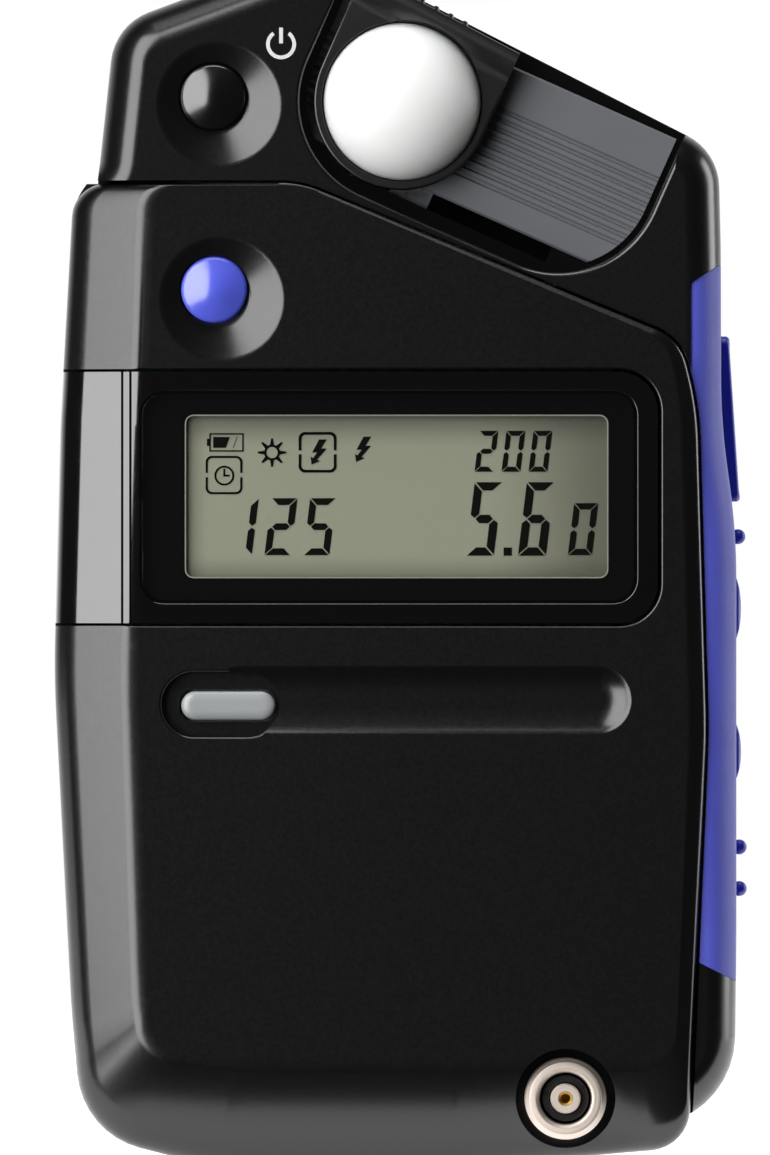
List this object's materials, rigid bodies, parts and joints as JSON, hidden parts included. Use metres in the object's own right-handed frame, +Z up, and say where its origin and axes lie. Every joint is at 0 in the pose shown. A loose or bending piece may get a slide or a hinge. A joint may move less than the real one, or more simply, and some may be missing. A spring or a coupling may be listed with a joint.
{
  "type": "flash meter",
  "caption": "Hand-held exposure and flash meter with a sliding white dome, segment display, sprung keys, side grip and flash cord terminal.",
  "frame": {"origin": "under the middle of the whole meter, on the surface that it stands on", "axes": "+X to the right across the face, +Y from the face to the back, +Z up the meter"},
  "size_m": [0.0634, 0.022, 0.11],
  "materials": {
    "case_black": "satin, fine spark texture",
    "holder_black": "satin",
    "bezel_gloss": "gloss",
    "mask_black": "matt print",
    "clear_window": "clear, hard coated",
    "display_glass": "matt polariser",
    "frame_grey": "moulded",
    "connector_rubber": "matt",
    "board_green": "solder mask",
    "chip_black": "moulded",
    "channel_grey": "satin",
    "dome_white": "translucent, satin",
    "power_key_black": "gloss",
    "mode_key_blue": "gloss",
    "iso_key_grey": "semi-gloss",
    "measuring_blue": "satin",
    "grip_blue": "soft satin",
    "nickel": "turned, plated",
    "gold_contact": "plated",
    "clear_lens": "clear",
    "steel": "plated",
    "cell_wrap": "printed film"
  },
  "bodies": {
    "case": {"front_cover": "case_black", "head_cover": "case_black", "rear_cover": "case_black", "receptor_housing": "case_black", "display_bezel": "bezel_gloss", "window_mask": "mask_black", "display_window": "clear_window", "lcd_panel": "display_glass", "lcd_frame": "frame_grey", "zebra_strip": "connector_rubber", "main_board": "board_green", "side_board": "board_green", "processor_chip": "chip_black", "channel_floor": "channel_grey", "side_grip": "grip_blue", "sync_ring": "nickel", "sync_insulator": "mask_black", "sync_contact": "gold_contact", "receptor_lens": "clear_lens", "photodiode": "display_glass", "detent_spring": "steel", "battery_spring": "steel", "battery_contact": "nickel", "battery_cell": "cell_wrap", "power_switch": "steel", "mode_switch": "steel", "iso_switch": "steel", "measuring_switch": "steel", "up_switch": "steel", "down_switch": "steel", "case_screw_1": "steel", "case_screw_2": "steel", "case_screw_3": "steel", "case_screw_4": "steel"},
    "dome_slider": {"dome_holder": "holder_black", "dome": "dome_white", "slider_retainer": "steel"},
    "power_key": {"power_button": "power_key_black"},
    "mode_key": {"mode_button": "mode_key_blue"},
    "iso_key_body": {"iso_key": "iso_key_grey"},
    "measuring_key": {"measuring_button": "measuring_blue"},
    "up_key_body": {"up_key": "grip_blue"},
    "down_key_body": {"down_key": "grip_blue"},
    "door": {"battery_door": "case_black"}
  },
  "joints": [
    {"name": "dome_slide", "type": "slide", "parent": "case", "child": "dome_slider", "axis": [0.9135, 0, -0.4067], "range_m": [0, 0.01557]},
    {"name": "power_press", "type": "slide", "parent": "case", "child": "power_key", "axis": [0, 1, 0], "range_m": [0, 0.0005], "stiffness_N_per_m": 600},
    {"name": "mode_press", "type": "slide", "parent": "case", "child": "mode_key", "axis": [0, 1, 0], "range_m": [0, 0.0005], "stiffness_N_per_m": 600},
    {"name": "iso_press", "type": "slide", "parent": "case", "child": "iso_key_body", "axis": [0, 1, 0], "range_m": [0, 0.0005], "stiffness_N_per_m": 600},
    {"name": "measuring_press", "type": "slide", "parent": "case", "child": "measuring_key", "axis": [-1, 0, 0], "range_m": [0, 0.0005], "stiffness_N_per_m": 600},
    {"name": "up_press", "type": "slide", "parent": "case", "child": "up_key_body", "axis": [-1, 0, 0], "range_m": [0, 0.0005], "stiffness_N_per_m": 600},
    {"name": "down_press", "type": "slide", "parent": "case", "child": "down_key_body", "axis": [-1, 0, 0], "range_m": [0, 0.0005], "stiffness_N_per_m": 600},
    {"name": "door_slide", "type": "slide", "parent": "case", "child": "door", "axis": [-1, 0, 0], "range_m": [0, 0.004]}
  ]
}
